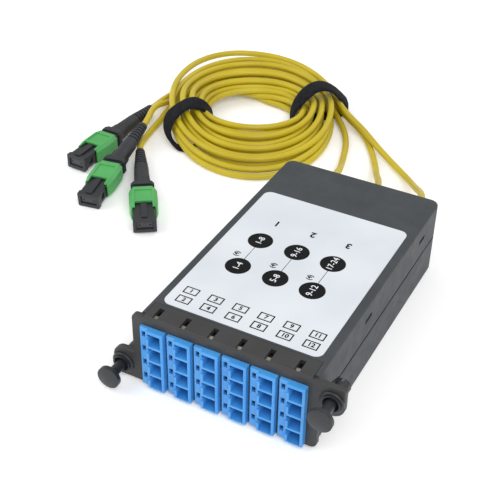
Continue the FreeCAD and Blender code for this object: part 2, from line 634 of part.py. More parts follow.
# ---- rear glands ----
def cable_gland(x):
    """Gland held in the rear wall between two flanges, with two rings on its tapered nose."""
    inside, wall_in = REAR - WALL - GLAND_FLANGE_T, REAR - WALL
    nose = REAR + GLAND_FLANGE_T
    profile = [(0, inside), (GLAND_FLANGE_R, inside), (GLAND_FLANGE_R, wall_in), (GLAND_R, wall_in),
               (GLAND_R, REAR), (GLAND_FLANGE_R, REAR), (GLAND_FLANGE_R, nose)]
    def radius(y):
        return GLAND_R + (GLAND_TIP_R - GLAND_R) * (y - nose) / GLAND_TAPER_L
    profile.append((GLAND_R, nose))
    for start in GLAND_RINGS:
        y0, y1 = nose + start, nose + start + GLAND_RING_L
        profile += [(radius(y0), y0), (GLAND_R - 0.1, y0), (GLAND_R - 0.1, y1), (radius(y1), y1)]
    profile += [(GLAND_TIP_R, GLAND_TIP_Y), (0, GLAND_TIP_Y)]
    return turned(profile, x, CABLE_Z)


# ---- latches ----
def latch_places():
    """Right ear first, then the left ear, which is the right one turned half round."""
    return [(LATCH_X, LATCH_Z), (-LATCH_X, 2 * MID_Z - LATCH_Z)]


def turned(profile, x, z):
    """Solid of revolution about an axis along Y, from (radius, y) points."""
    points = [V(x + r, y, z) for r, y in profile]
    face = Part.Face(Part.makePolygon(points + [points[0]]))
    return face.revolve(V(x, 0, z), V(0, 1, 0), 360)


def latch_grommet(x, z):
    """Flange with a raised ring, a neck in the ear, a slotted barrel and a funnel-mouthed bore."""
    flange_y = PLATE_FRONT - FLANGE_T
    boss_y = flange_y - BOSS_T
    end_y = FRONT + BARREL_L
    bore = SHAFT_R + SHAFT_GAP
    grommet = turned([(FUNNEL_R, boss_y), (BOSS_R, boss_y), (BOSS_R, flange_y), (FLANGE_R - 0.4, flange_y),
                      (FLANGE_R, flange_y + 0.4), (FLANGE_R, PLATE_FRONT), (GROMMET_NECK_R, PLATE_FRONT),
                      (GROMMET_NECK_R, FRONT), (GROMMET_R, FRONT), (GROMMET_R, end_y), (bore, end_y),
                      (bore, boss_y + FUNNEL_D)], x, z)
    slots = []
    for dx, dz in ((SLOT_W / 2, GROMMET_R + 1), (GROMMET_R + 1, SLOT_W / 2)):
        slots.append(box(x - dx, x + dx, end_y - SLOT_D, end_y + 1, z - dz, z + dz))
    return cut_all(grommet, slots)


def latch_plunger(x, z):
    """Mushroom knob on a shaft, drawn in its pulled-out position."""
    knob_back = PLATE_FRONT - FLANGE_T - BOSS_T - LATCH_TRAVEL - KNOB_GAP
    knob_front = knob_back - KNOB_T
    ball_r = (KNOB_R ** 2 + KNOB_DOME ** 2) / (2 * KNOB_DOME)
    ball = Part.makeSphere(ball_r, V(x, knob_front - KNOB_DOME + ball_r, z))
    dome = ball.common(cyl_y(KNOB_R, x, z, knob_front - KNOB_DOME - 1, knob_front))
    stem = turned([(0, knob_front), (KNOB_R, knob_front), (KNOB_R, knob_back), (SHAFT_R + NECK_FLARE, knob_back),
                   (SHAFT_R, knob_back + NECK_L), (SHAFT_R, FRONT + SHAFT_TAIL), (0, FRONT + SHAFT_TAIL)], x, z)
    return fuse_all([dome, stem])


# ---- coil, wraps and free cable ----
def coil_point(r, d, z):
    """Point from the coil's own axes."""
    a = math.radians(COIL_TURN)
    return V(COIL_AT[0] + r * math.cos(a) - d * math.sin(a),
             COIL_AT[1] + r * math.sin(a) + d * math.cos(a), z)


def ring_solid(sections):
    """Closed ring of flat facets through sections with the same count of points."""
    faces = []
    for here, there in zip(sections, sections[1:] + sections[:1]):
        for j in range(len(here)):
            k = (j + 1) % len(here)
            for corners in ((here[j], here[k], there[k]), (here[j], there[k], there[j])):
                faces.append(Part.Face(Part.makePolygon(list(corners) + [corners[0]])))
    solid = Part.Solid(Part.makeShell(faces))
    if solid.Volume < 0:
        solid.reverse()
    return solid


def coil_section(angle):
    """Bevelled section of the coil, from the hole's edge to the outer edge."""
    def edge(oval, move):
        a, b, shift = oval
        return (a + move) * math.cos(angle), (b + move) * math.sin(angle) + shift
    z0, z1, v = COIL_Z0, COIL_Z0 + COIL_H, COIL_BEVEL
    outline = ((COIL_HOLE, 0, z0 + v), (COIL_HOLE, v, z0), (COIL_OUT, -v, z0), (COIL_OUT, 0, z0 + v),
               (COIL_OUT, 0, z1 - v), (COIL_OUT, -v, z1), (COIL_HOLE, v, z1), (COIL_HOLE, 0, z1 - v))
    return [coil_point(*edge(oval, move), z) for oval, move, z in outline]


def cable_coil():
    return ring_solid([coil_section(2 * math.pi * k / COIL_STEPS) for k in range(COIL_STEPS)])


def smooth_loop(points, steps):
    """Closed curve through the points, as places and directions."""
    n = len(points)
    places = []
    for i in range(n):
        p0, p1, p2, p3 = (points[(i + k - 1) % n] for k in range(4))
        for k in range(steps):
            t = k / steps
            a = p1 * 2 + (p2 - p0) * t + (p0 * 2 - p1 * 5 + p2 * 4 - p3) * t ** 2
            places.append((a + (p1 * 3 - p0 - p2 * 3 + p3) * t ** 3) * 0.5)
    count = len(places)
    return [(places[i], (places[(i + 1) % count] - places[i - 1]).normalize()) for i in range(count)]


def coil_wrap(points, turn):
    """Hook-and-loop strap around one side of the coil, its width lying level."""
    a = math.radians(COIL_TURN + turn)
    level = V(math.cos(a), math.sin(a), 0)
    sections = []
    for place, way in smooth_loop([coil_point(*p) for p in points], WRAP_STEPS):
        side = level - way * level.dot(way)
        side = V(side.x, side.y, 0).normalize()
        out = way.cross(side).normalize() * (WRAP_T / 2)
        side = side * (WRAP_W / 2)
        sections.append([place - out - side, place + out - side, place + out + side, place - out + side])
    return ring_solid(sections)


LEADS = (
    [(-19.1, 76.0, 16.0), (-21.0, 86.5, 12.6), (-25.0, 97.5, 6.4), (-29.4, 110.0, 2.4), (-34.4, 124.0, 1.7),
     (-40.4, 136.4, 2.0), (-47.6, 144.6, 4.2)],
    [(0.9, 76.0, 16.0), (-2.6, 86.5, 12.6), (-7.9, 98.5, 6.4), (-14.6, 114.0, 1.9), (-24.0, 130.4, 1.7),
     (-32.4, 140.6, 1.8), (-39.4, 147.4, 1.9), (-47.0, 155.0, 2.2), (-54.6, 161.4, 2.8), (-61.4, 165.6, 3.6)],
    [(20.9, 76.0, 16.0), (16.8, 86.5, 12.6), (11.0, 97.0, 6.6), (3.0, 109.0, 2.2), (-8.0, 118.6, 1.7),
     (-17.8, 127.6, 1.8), (-25.6, 138.2, 1.8), (-33.2, 147.0, 2.0), (-41.0, 154.4, 2.4),
     (-48.8, 161.4, 4.4), (-56.8, 166.8, 7.4), (-64.6, 168.8, 8.4)],
)
TAILS = (
    [(-131.8, 111.0, 4.4), (-132.0, 118.0, 4.3), (-131.2, 125.0, 4.7), (-128.8, 131.4, 5.2)],
    [(-122.4, 88.5, 9.6), (-126.2, 96.8, 8.6), (-128.4, 105.0, 7.4), (-128.0, 113.4, 6.6), (-126.0, 121.6, 6.2)],
    [(-116.0, 70.3, 4.4), (-119.4, 77.4, 3.0), (-121.8, 85.6, 1.9), (-123.2, 94.0, 1.7), (-123.9, 102.2, 1.8),
     (-122.6, 110.4, 3.2)],
)


def cable_lead(i):
    start = V(CABLE_XS[i], GLAND_TIP_Y, CABLE_Z)
    points = [start] + [V(*p) for p in LEADS[i]]
    return tube(f"cable_lead_{i + 1}", points, CABLE_R)


def cable_tail(i):
    start = connector_point(i, -NECK - COLLAR_L - BOOT_L)
    first = connector_point(i, -NECK - COLLAR_L - BOOT_L - TAIL_STRAIGHT)
    points = [start, first] + [V(*p) for p in TAILS[i][1:]]
    return tube(f"cable_tail_{i + 1}", points, CABLE_R)


# ---- multi-fibre connectors, built along +X and then placed ----
def connector_placement(i):
    at, heading, pitch = CONNECTORS[i]
    turn = FreeCAD.Rotation(V(0, 0, 1), heading).multiply(FreeCAD.Rotation(V(0, 1, 0), pitch))
    return FreeCAD.Placement(V(*at), turn)


def connector_point(i, x):
    return connector_placement(i).multVec(V(x, 0, 0))


def place_connector(shape, i):
    shape.Placement = connector_placement(i)
    return shape


def centred(x0, x1, w, h):
    return box(x0, x1, -w / 2, w / 2, -h / 2, h / 2)


def bevelled(x, w, h, c):
    """Eight corners of a bevelled rectangle in the plane x."""
    a, b = w / 2, h / 2
    return [V(x, -a + c, -b), V(x, a - c, -b), V(x, a, -b + c), V(x, a, b - c),
            V(x, a - c, b), V(x, -a + c, b), V(x, -a, b - c), V(x, -a, -b + c)]


def connector_sleeve():
    """Sliding sleeve: bevelled, drawn in at both ends, its upper front edge cut back over the key."""
    sections = [bevelled(x, CON_W - 2 * t, CON_H - t, CON_CHAMFER)
                for x, t in ((0, CON_TAPER), (CON_TAPER_BACK, 0), (CON_L - CON_TAPER_FRONT, 0), (CON_L, CON_TAPER))]
    outer = skin(sections)
    cuts = [centred(-1, CON_L + 1, BODY_W + 2 * CON_GAP, BODY_H + 2 * CON_GAP),
            box(CON_L - STEP_L, CON_L + 1, -STEP_W / 2, STEP_W / 2, 0, CON_H)]
    half = CON_W / 2 - CON_CHAMFER - 0.9
    for side in (-1, 1):
        z0, z1 = sorted((side * (CON_H / 2 - GRIP_D), side * CON_H))
        cuts.append(box(GRIP_IN, CON_L - STEP_L - 1, -half, half, z0, z1))
    return cut_all(outer, cuts)


def connector_body():
    """Inner housing with its key, a rim round the tip and a window on each narrow side."""
    tip = CON_L + TIP_L
    body = centred(-NECK, tip, BODY_W, BODY_H)
    rim = centred(tip - RIM_L, tip, BODY_W + 2 * RIM_T, BODY_H + 2 * RIM_T)
    body, rim = (round_edges(part, BODY_R, lambda e: along(e, 0)) for part in (body, rim))
    key = box(CON_L - STEP_L + CON_GAP, tip - RIM_L / 2, -KEY_W / 2, KEY_W / 2, BODY_H / 2 - 0.5, BODY_H / 2 + KEY_H)
    body = fuse_all([body, rim, key])
    w, h = FERRULE_W + 2 * FERRULE_GAP, FERRULE_H + 2 * FERRULE_GAP
    pocket = centred(tip - FERRULE_L - FERRULE_BACK, tip + 1, w, h)
    flare = centred(tip - 0.5, tip + 1, w + 0.8, h + 1.0)
    windows = []
    for side in (-1, 1):
        y0, y1 = sorted((side * (BODY_W / 2 - 0.6), side * BODY_W))
        windows.append(box(CON_L + 2.4, CON_L + 5.2, y0, y1, -1.4, 1.4))
    return cut_all(body, [pocket, flare] + windows).removeSplitter()


def connector_ferrule():
    tip = CON_L + TIP_L - FERRULE_BACK
    block = centred(tip - FERRULE_L, tip, FERRULE_W, FERRULE_H)
    holes = [Part.makeCylinder(PIN_R, PIN_D + 1, V(tip - PIN_D, side * PIN_X, 0), V(1, 0, 0)) for side in (-1, 1)]
    return cut_all(block, holes)


def connector_boot():
    """Collar, then a round tail that tapers to the cable, slotted near its end so that it bends."""
    back = -NECK - COLLAR_L
    end = back - BOOT_L
    collar = skin([bevelled(-NECK, COLLAR_W, COLLAR_H, 1.0),
                   bevelled(-NECK - COLLAR_L * 0.55, COLLAR_W, COLLAR_H, 1.0),
                   bevelled(back, COLLAR_W - 2 * COLLAR_IN, COLLAR_H - 0.4, 1.0)])
    half = COLLAR_W / 2 - COLLAR_IN - 0.6
    gusset = prism([V(back, -half, -GUSSET_H / 2), V(back, half, -GUSSET_H / 2),
                    V(back - GUSSET_L, BOOT_RM, -GUSSET_H / 2), V(back - GUSSET_L, -BOOT_RM, -GUSSET_H / 2)],
                   V(0, 0, GUSSET_H))
    middle = (back + end) / 2
    def radius(x):
        x0, r0, x1, r1 = (back, BOOT_R0, middle, BOOT_RM) if x > middle else (middle, BOOT_RM, end, BOOT_R1)
        return r0 + (r1 - r0) * (x - x0) / (x1 - x0)
    outline = [(back + 0.5, 0), (back + 0.5, BOOT_R0), (middle, BOOT_RM)]
    start = end + RIB_END + (BOOT_RIBS - 1) * RIB_PITCH + RIB_SLOT
    for k in range(BOOT_RIBS):
        x0 = start - k * RIB_PITCH
        x1 = x0 - RIB_SLOT
        outline += [(x0, radius(x0)), (x0, radius(x0) - RIB_D), (x1, radius(x1) - RIB_D), (x1, radius(x1))]
    outline += [(end, BOOT_R1), (end, 0)]
    face = Part.Face(Part.makePolygon([V(x, r, 0) for x, r in outline + outline[:1]]))
    tail = face.revolve(V(0, 0, 0), V(1, 0, 0), 360)
    return fuse_all([collar, gusset, tail])


def main():
    os.makedirs("parts", exist_ok=True)
    save("lower_tray", lower_tray())
    save("upper_cover", upper_cover())
    save("label_sheet", label_sheet())
    save("front_bezel", front_bezel())
    for i, xc in enumerate(ADAPTER_XS, 1):
        save(f"lc_adapter_{i}", lc_adapter(xc))
        save(f"adapter_clip_{i}", adapter_clip(xc))
    save("pigtail_plugs", pigtail_plugs())
    for i, x in enumerate(CABLE_XS):
        save(f"furcation_block_{i + 1}", furcation_block(x))
        save(f"fibre_bundle_{i + 1}", fibre_bundle(i))
        save(f"cable_gland_{i + 1}", cable_gland(x))
        save(f"cable_lead_{i + 1}", cable_lead(i))
        save(f"cable_tail_{i + 1}", cable_tail(i))
    for side, (x, z) in zip(("right", "left"), latch_places()):
        save(f"latch_grommet_{side}", latch_grommet(x, z))
        save(f"latch_plunger_{side}", latch_plunger(x, z))
    save("cable_coil", cable_coil())
    save("coil_wrap_right", coil_wrap(WRAP_RIGHT, WRAP_RIGHT_TURN))
    save("coil_wrap_left", coil_wrap(WRAP_LEFT, WRAP_LEFT_TURN))
    pieces = {"sleeve": connector_sleeve, "housing": connector_body,
              "ferrule": connector_ferrule, "boot": connector_boot}
    for i in range(CABLES):
        for name, make in pieces.items():
            save(f"connector_{name}_{i + 1}", place_connector(make(), i))


main()
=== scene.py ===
"""Looks of the fibre cassette: materials, cables, straps, label print, light and camera."""
import bmesh
import bpy
import json
import math
import numpy as np
from mathutils import Matrix, Vector


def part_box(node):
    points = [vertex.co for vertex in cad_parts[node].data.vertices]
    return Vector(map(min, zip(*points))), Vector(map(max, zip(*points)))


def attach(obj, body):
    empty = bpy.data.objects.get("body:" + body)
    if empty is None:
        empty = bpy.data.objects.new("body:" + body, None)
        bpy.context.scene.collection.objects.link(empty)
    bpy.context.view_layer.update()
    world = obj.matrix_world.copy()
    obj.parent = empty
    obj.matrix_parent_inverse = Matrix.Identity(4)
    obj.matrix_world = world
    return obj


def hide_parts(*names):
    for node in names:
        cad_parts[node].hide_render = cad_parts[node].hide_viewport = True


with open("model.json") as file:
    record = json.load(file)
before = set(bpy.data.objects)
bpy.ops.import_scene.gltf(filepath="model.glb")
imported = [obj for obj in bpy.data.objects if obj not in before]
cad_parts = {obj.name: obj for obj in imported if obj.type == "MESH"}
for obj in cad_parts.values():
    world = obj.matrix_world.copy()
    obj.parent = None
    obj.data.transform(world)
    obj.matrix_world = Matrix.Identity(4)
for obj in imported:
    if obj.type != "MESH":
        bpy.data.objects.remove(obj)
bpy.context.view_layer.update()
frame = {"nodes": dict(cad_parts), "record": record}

MM = 0.001
ROOT = "cassette"


# ---------------------------------------------------------------- materials
def colour(hex_code):
    """Linear colour from an sRGB hex code."""
    def linear(v):
        return v / 12.92 if v <= 0.04045 else ((v + 0.055) / 1.055) ** 2.4
    return (*(linear(int(hex_code[i:i + 2], 16) / 255) for i in (0, 2, 4)), 1.0)


class Shader:
    """Node tree with short calls for the nodes that the materials share."""

    def __init__(self, name):
        self.material = bpy.data.materials.new(name)
        self.material.use_nodes = True
        self.tree = self.material.node_tree
        self.bsdf = self.tree.nodes["Principled BSDF"]
        self.place = self.node("ShaderNodeTexCoord").outputs["Object"]

    def node(self, kind, **values):
        made = self.tree.nodes.new(kind)
        for key, value in values.items():
            setattr(made, key, value)
        return made

    def link(self, a, b):
        self.tree.links.new(a, b)

    def noise(self, size_mm, detail=2.0, stretch=None):
        """Noise whose features are about size_mm across."""
        made = self.node("ShaderNodeTexNoise")
        made.inputs["Scale"].default_value = 1 / MM / size_mm
        made.inputs["Detail"].default_value = detail
        place = self.place
        if stretch:
            mapping = self.node("ShaderNodeMapping")
            mapping.inputs["Scale"].default_value = stretch
            self.link(place, mapping.inputs["Vector"])
            place = mapping.outputs["Vector"]
        self.link(place, made.inputs["Vector"])
        return made.outputs["Fac"]

    def ramp(self, source, low, high, start, end):
        """Value or colour that runs from low to high as source goes from start to end."""
        if isinstance(low, tuple):
            made = self.node("ShaderNodeValToRGB")
            for element, position, shade in zip(made.color_ramp.elements, (start, end), (low, high)):
                element.position, element.color = position, shade
            self.link(source, made.inputs["Fac"])
            return made.outputs["Color"]
        made = self.node("ShaderNodeMapRange")
        for key, value in zip(("From Min", "From Max", "To Min", "To Max"), (start, end, low, high)):
            made.inputs[key].default_value = value
        self.link(source, made.inputs["Value"])
        return made.outputs["Result"]

    def bump(self, source, depth_mm, strength, under=None):
        """Normal bent by a height, on top of the normal under it if there is one."""
        made = self.node("ShaderNodeBump")
        made.inputs["Distance"].default_value = depth_mm * MM
        made.inputs["Strength"].default_value = strength
        self.link(source, made.inputs["Height"])
        if under:
            self.link(under, made.inputs["Normal"])
        return made.outputs["Normal"]

    def set(self, **values):
        """Put values or links on the shader's own sockets, and give the material."""
        for key, value in values.items():
            socket = self.bsdf.inputs[key.replace("_", " ")]
            if isinstance(value, bpy.types.NodeSocket):
                self.link(value, socket)
            else:
                socket.default_value = value
        return self.material


def moulded(name, light, dark, roughness, grain_mm, grain_depth, coat=0.0, gloss=0.5):
    """Moulded plastic: faint colour drift, fine spark-eroded grain, uneven sheen."""
    s = Shader(name)
    drift = s.noise(14.0, 3.0)
    grain = s.noise(grain_mm, 3.0)
    return s.set(Base_Color=s.ramp(drift, colour(dark), colour(light), 0.35, 0.65),
                 Roughness=s.ramp(s.noise(5.0, 4.0), roughness - 0.05, roughness + 0.06, 0.3, 0.7),
                 Normal=s.bump(grain, grain_depth, 0.6), Coat_Weight=coat, Specular_IOR_Level=gloss)


def cable_jacket():
    """Extruded jacket: slow colour drift and fine scuffs."""
    s = Shader("jacket_yellow")
    drift = s.noise(30.0, 2.0)
    scuff = s.noise(2.2, 4.0)
    return s.set(Base_Color=s.ramp(drift, colour("b9a416"), colour("cbb720"), 0.35, 0.7),
                 Roughness=s.ramp(scuff, 0.36, 0.5, 0.35, 0.7),
                 Normal=s.bump(s.noise(0.9, 2.0), 0.03, 0.4), Specular_IOR_Level=0.45)


WEAVE = 0.8                              # pitch of the strap's weave


def strap_fabric():
    """Hook-and-loop strap: matted loops over a fine weave."""
    s = Shader("strap_black")
    loops = s.noise(0.55, 5.0)
    tufts = s.noise(2.4, 3.0)
    weave = s.node("ShaderNodeTexVoronoi", feature="DISTANCE_TO_EDGE")
    weave.inputs["Scale"].default_value = 1 / MM / WEAVE
    s.link(s.place, weave.inputs["Vector"])
    base = s.bump(weave.outputs["Distance"], 0.25, 0.5)
    return s.set(Base_Color=s.ramp(tufts, colour("131418"), colour("202127"), 0.35, 0.7), Roughness=0.95,
                 Normal=s.bump(loops, 0.5, 0.8, base), Specular_IOR_Level=0.15,
                 Sheen_Weight=0.03, Sheen_Roughness=0.5)


def spring_steel():
    """Sheet steel, brushed along the clip."""
    s = Shader("clip_steel")
    brushed = s.noise(0.5, 3.0, (1.0, 9.0, 1.0))
    return s.set(Base_Color=s.ramp(s.noise(3.0), colour("8d8a80"), colour("a9a69b"), 0.3, 0.7), Metallic=0.9,
                 Roughness=s.ramp(brushed, 0.28, 0.5, 0.3, 0.7), Normal=s.bump(brushed, 0.02, 0.4))


def label_film():
    """Satin label film with a faint fibre."""
    s = Shader("label_film")
    fibre = s.noise(0.6, 4.0)
    return s.set(Base_Color=s.ramp(s.noise(25.0, 2.0), colour("ced4d9"), colour("d8dde2"), 0.35, 0.7),
                 Roughness=s.ramp(fibre, 0.42, 0.52, 0.3, 0.7), Normal=s.bump(fibre, 0.012, 0.3))


HOUSING = moulded("housing_grey", "3f4347", "393d41", 0.56, 0.45, 0.07, gloss=0.32)
BEZEL = moulded("bezel_grey", "39393a", "333334", 0.5, 0.4, 0.05, gloss=0.4)
BLUE = moulded("adapter_blue", "479ade", "3d8ed4", 0.36, 0.8, 0.02, coat=0.12)
BLACK = moulded("black_plastic", "26272b", "202125", 0.42, 0.5, 0.04)
RUBBER = moulded("boot_rubber", "2c2e33", "25272b", 0.55, 0.35, 0.05)
GREEN = moulded("sleeve_green", "50ab5b", "47a052", 0.42, 0.5, 0.05)
FERRULE = moulded("ferrule_resin", "3a3b40", "323338", 0.3, 0.6, 0.015)
JACKET = cable_jacket()
STRAP = strap_fabric()
STEEL = spring_steel()
FILM = label_film()
INK = moulded("label_ink", "0a0b0d", "101113", 0.6, 0.5, 0.01, gloss=0.15)
WHITE_INK = moulded("label_white", "e6ebef", "dfe5ea", 0.5, 0.5, 0.01)

MATERIALS = {"housing": HOUSING, "label": FILM, "adapter": BLUE, "clip": STEEL, "plug": BLUE,
             "black_moulding": BLACK, "fibre": JACKET, "gland": RUBBER, "cable": JACKET, "strap": STRAP,
             "boot": RUBBER, "ferrule": FERRULE, "green_sleeve": GREEN}
SLOTS = {p["node"]: p["material_slot"] for p in frame["record"]["subparts"]}


def paint(obj, material):
    obj.data.materials.clear()
    obj.data.materials.append(material)
    return obj


for name, node in frame["nodes"].items():
    paint(node, BEZEL if name == "front_bezel" else MATERIALS[SLOTS[name]])


# ---------------------------------------------------------------- helpers
def new_object(name, data):
    obj = bpy.data.objects.new(name, data)
    bpy.context.scene.collection.objects.link(obj)
    return obj


def mesh_piece(name, verts, faces, material, smooth):
    """Mesh object from vertices in metres, painted and riding on the cassette."""
    mesh = bpy.data.meshes.new(name)
    mesh.from_pydata([tuple(v) for v in verts], [], faces)
    mesh.validate()
    obj = new_object(name, mesh)
    for polygon in mesh.polygons:
        polygon.use_smooth = smooth
    paint(obj, material)
    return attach(obj, ROOT)


# ---------------------------------------------------------------- cables
# All cable and strap points are in mm. The coil has its own axes: r across and d along, from its centre.
COIL_AT = (-87.6, 131.5)
COIL_TURN = math.radians(27.85)
CABLE_D = 3.0
ROW = 3.15                               # height of one row of cables at the straps
# The coil after each half turn: d of its middle, and r and z of its three cables at the strap.
MIDDLES = (-5.6, -5.6, -5.6, -5.6, -5.6, -5.9, -6.3, -7.2, -7.4, -7.4)
ACROSS = ((42.0, 42.0, 42.0), (41.2, 41.2, 41.2), (38.8, 38.8, 38.8), (36.0, 36.0, 36.0), (34.0, 34.0, 34.0),
          (30.6, 30.6, 31.6), (28.4, 28.6, 29.6), (25.2, 25.2, 27.0), (23.8, 24.0, 25.5),
          (23.6, 23.6, 24.2))
ROWS = ((3.2, 5.6, 8.2), (2.0, 4.6, 7.2), (3.3, 6.4, 9.6), (3.3, 6.45, 9.6), (3.3, 6.45, 9.6),
        (3.3, 6.45, 9.6), (3.3, 6.45, 9.6), (2.6, 5.6, 8.4), (2.4, 5.2, 7.0), (2.4, 5.2, 7.0))
# Where each turn's three cables lie half way between the straps, as (d, z): in front and behind.
FRONT = (((-60.8, 1.6), (-58.4, 2.6), (-52.0, 3.4)), ((-50.1, 1.6), (-48.2, 3.9), (-44.4, 4.7)),
         ((-42.6, 1.9), (-40.4, 5.2), (-36.4, 6.0)), ((-33.4, 3.6), (-30.2, 6.2), (-28.4, 6.8)))
BEHIND = (((43.8, 5.0), (47.0, 8.4), (50.5, 6.6)), ((37.0, 4.7), (34.6, 7.4), (39.2, 8.0)),
          ((28.0, 4.7), (25.2, 6.6), (29.8, 7.2)), ((14.2, 5.0), (17.0, 5.6), (20.6, 6.2)),
          ((10.6, 1.9), (12.2, 2.2), (14.4, 2.8)))
FAN = 0.8                                # how fast the cables fan out beyond the straps: lower is faster
RISE = (28, 54)                          # degrees in which each turn climbs over the cables beneath it
LANDING = (196, 194, 182, 154, 154)      # degrees at which each turn starts to come down again
DESCENT = 40                             # degrees that this takes
LOOSE = ((30, 0), (65, 1), (85, 3), (105, 6.5), (125, 9), (145, 8), (160, 4.5), (172, 1.5),
         (185, 0))                       # degrees, and how far the last cable's first turn stands off there
LOOSE_ACROSS = 0.45                      # share of it that goes to r
# Routes of the cables from the glands to the coil, and from the coil to the boots.
LEADS = (
    [(-19.1, 67.7, 16.0), (-19.1, 76.0, 16.0), (-21.2, 86.5, 12.6), (-25.4, 98.0, 6.4), (-29.6, 111.0, 2.2),
     (-34.0, 125.6, 1.7), (-39.8, 137.0, 1.9)],
    [(0.9, 67.7, 16.0), (0.9, 76.0, 16.0), (-2.6, 86.5, 12.6), (-7.9, 98.5, 6.4), (-14.4, 114.0, 1.9),
     (-23.6, 130.0, 1.7), (-33.2, 141.2, 1.8), (-43.5, 148.2, 2.8)],
    [(20.9, 67.7, 16.0), (20.9, 76.0, 16.0), (17.0, 86.5, 12.6), (11.2, 97.4, 6.6), (4.0, 108.4, 2.5),
     (-7.2, 118.2, 1.8), (-16.6, 125.0, 2.8), (-23.4, 129.6, 4.2), (-31.0, 136.0, 4.8), (-39.8, 142.4, 5.0),
     (-47.5, 147.8, 6.2)],
)
TAILS = (
    [(-133.3, 118.6, 3.0), (-131.8, 111.0, 4.4), (-132.0, 105.2, 4.4)],
    [(-129.2, 113.4, 4.6), (-128.6, 105.0, 7.2), (-126.2, 96.8, 8.6), (-122.3, 87.7, 9.5),
     (-121.3, 81.7, 9.0)],
    [(-124.4, 103.0, 1.8), (-123.2, 94.0, 1.7), (-121.8, 85.6, 1.9), (-119.4, 77.4, 3.0), (-116.8, 71.5, 4.4),
     (-114.0, 67.4, 4.4)],
)
TURNS = 4 * 360                          # degrees of the whole turns
JOIN = (0, 16, 20)                       # degrees at which each lead becomes part of the coil
DIVE = (TURNS + 52, TURNS + 68, TURNS + 84)       # where each cable dives under the others
EMERGE = (TURNS + 146, TURNS + 162, TURNS + 178)  # and where it comes out on the left
OUT = (44.8, 54.0)                       # half axes of the coil where the cables come out
UNDER_Z = 1.65                           # height of a cable that runs beneath the others
OUTWARD = (-0.25, 1.05)                  # start and end of its way outwards, as shares of the way under them
DOWNWARD = (-0.1, 0.34)                  # and of its way down
STEP = 22.5                              # about so many degrees between two points of a turn


def coil_point(r, d, z):
    c, s = math.cos(COIL_TURN), math.sin(COIL_TURN)
    return (COIL_AT[0] + r * c - d * s, COIL_AT[1] + r * s + d * c, z)


def ramp(x, start, end):
    """Smooth step from 0 to 1."""
    x = max(0.0, min(1.0, (x - start) / (end - start)))
    return x * x * (3 - 2 * x)


def table_value(table, x):
    """Value between the rows of a table, and 0 outside it."""
    for (a, low), (b, high) in zip(table, table[1:]):
        if a <= x <= b:
            return low + (high - low) * (x - a) / (b - a)
    return 0.0


def strand(cable, degrees):
    """Half axes, middle and height of a cable in the coil: in rows at the straps, fanned out between."""
    half = degrees / 180
    k = int(half)
    share = (1 - math.cos(math.pi * (half - k))) / 2
    middle = MIDDLES[k] + (MIDDLES[k + 1] - MIDDLES[k]) * share
    across = ACROSS[k][cable] + (ACROSS[k + 1][cable] - ACROSS[k][cable]) * share
    row = ROWS[k][cable] + (ROWS[k + 1][cable] - ROWS[k][cable]) * share
    turn, local = int(degrees // 360), degrees % 360
    d, z = (BEHIND if local < 180 else FRONT)[turn][cable]
    along = abs(d - middle)
    if cable == 2:
        off = table_value(LOOSE, degrees)
        across, along = across + LOOSE_ACROSS * off, along + off
    lifted = ROW * ramp(local, *RISE) * (1 - ramp(local, LANDING[turn], LANDING[turn] + DESCENT))
    if local < 180:                      # the heights in BEHIND have the lift in them
        z -= ROW
    fan = abs(math.sin(math.radians(degrees))) ** FAN
    return across, along, middle, row + (z - row) * fan + lifted


def coil_route(cable, degrees):
    """Place of a cable in the coil, and on its way out beneath the turns."""
    across, along, middle, z = strand(cable, min(degrees, DIVE[cable]))
    if degrees > DIVE[cable]:
        t = (degrees - DIVE[cable]) / (EMERGE[cable] - DIVE[cable])
        # Both steps start before the dive, and what they have there is taken off.
        out = ramp(t, *OUTWARD) - ramp(0, *OUTWARD) * (1 - t)
        across, along = across + (OUT[0] - across) * out, along + (OUT[1] - along) * out
        middle += (MIDDLES[0] - middle) * out
        z = UNDER_Z + (z - UNDER_Z) * (1 - ramp(t, *DOWNWARD)) / (1 - ramp(0, *DOWNWARD))
    angle = math.radians(degrees)
    return coil_point(across * math.cos(angle), along * math.sin(angle) + middle, z)


def cable_points(cable):
    """Control points of a whole cable, before it settles."""
    span = EMERGE[cable] - JOIN[cable]
    count = round(span / STEP)
    turns = [coil_route(cable, JOIN[cable] + span * k / count) for k in range(count + 1)]
    return LEADS[cable] + turns + TAILS[cable]


SAMPLES = 6                              # places tested on each span of a route
NEAR = 3                                 # least spans between places of one cable that push each other
APART = 3.03                             # least distance between two cables' centre lines
REACH = 1.2                              # pairs are looked for this much further apart
LOOK = 12                                # rounds between two such looks
ROUNDS = 300
FLOOR_Z = 1.55                           # least height of a centre line
HELD = ((4, 2), (4, 3), (4, 5))          # points at the head and tail of each cable that stay put
EASE = 0.22                              # how much each round evens out the moves along a cable
CROWD = 0.45                             # several pushes on one place count for less, by this
GAIN = 1.3                               # share of the push that a control point follows


def spline_weights(count):
    """Weights of an order 3 spline's control points, with clamped ends, at SAMPLES places of each span."""
    knots = np.concatenate([[0, 0, 0], np.arange(1, count - 2), [count - 2] * 3]).astype(float)
    rows = np.zeros(((count - 2) * SAMPLES, count))
    for i in range(count - 2):
        a0, a1, a2, a3 = knots[i + 1:i + 5]
        for k in range(SAMPLES):
            u = i + (k + 0.5) / SAMPLES
            left, right = (a2 - u) / (a2 - a1), (u - a1) / (a2 - a1)
            rows[i * SAMPLES + k, i:i + 3] = (left * (a2 - u) / (a2 - a0),
                                              left * (u - a0) / (a2 - a0) + right * (a3 - u) / (a3 - a1),
                                              right * (u - a1) / (a3 - a1))
    return rows


